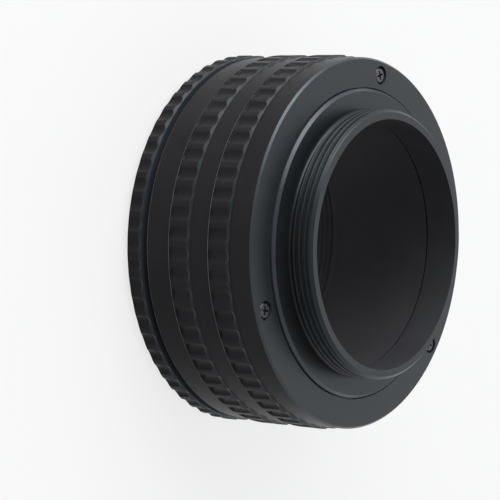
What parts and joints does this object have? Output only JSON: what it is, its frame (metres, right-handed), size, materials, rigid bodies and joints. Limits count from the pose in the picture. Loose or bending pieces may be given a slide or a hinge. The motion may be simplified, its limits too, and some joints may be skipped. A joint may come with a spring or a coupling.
{
  "type": "focusing helicoid adapter",
  "caption": "Short double helicoid tube with fluted grip bands; turning the focus ring moves a threaded camera side away from a threaded lens side.",
  "frame": {"origin": "centre of the lens seat, the rear face that the part stands on", "axes": "+Z along the light path from the lens side to the camera side"},
  "size_m": [0.059, 0.059, 0.0295],
  "materials": {
    "anodised_outside": "satin black anodised",
    "anodised_helicoid": "black anodised and greased",
    "black_steel": "black oxide",
    "key_brass": "machined"
  },
  "bodies": {
    "lens_side": {"lens_barrel": "anodised_outside"},
    "guide": {"guide_sleeve": "anodised_helicoid", "stop_pin": "black_steel", "guide_key_1": "key_brass", "guide_key_2": "key_brass", "guide_key_3": "key_brass", "key_screws_1": "black_steel", "key_screws_2": "black_steel", "key_screws_3": "black_steel"},
    "focus_ring": {"focus_sleeve": "anodised_outside", "front_ring": "anodised_outside", "rear_helicoid_ring": "anodised_helicoid", "front_screw_1": "black_steel", "front_screw_2": "black_steel", "front_screw_3": "black_steel", "rear_screw_1": "black_steel", "rear_screw_2": "black_steel", "rear_screw_3": "black_steel"},
    "camera_side": {"camera_barrel": "anodised_outside"}
  },
  "joints": [
    {"name": "guide_slide", "type": "slide", "parent": "lens_side", "child": "guide", "axis": [0, 0, 1], "range_m": [0, 0.012]},
    {"name": "focus_turn", "type": "hinge", "parent": "guide", "child": "focus_ring", "pos_m": [0, 0, 0.0125], "axis": [0, 0, 1], "range_deg": [0, 180]},
    {"name": "camera_slide", "type": "slide", "parent": "guide", "child": "camera_side", "axis": [0, 0, 1], "range_m": [0, 0.012]}
  ],
  "couplings": [
    {"joint": "guide_slide", "follows": "focus_turn", "m_per_rad": 0.0038197},
    {"joint": "camera_slide", "follows": "focus_turn", "m_per_rad": 0.0038197}
  ]
}
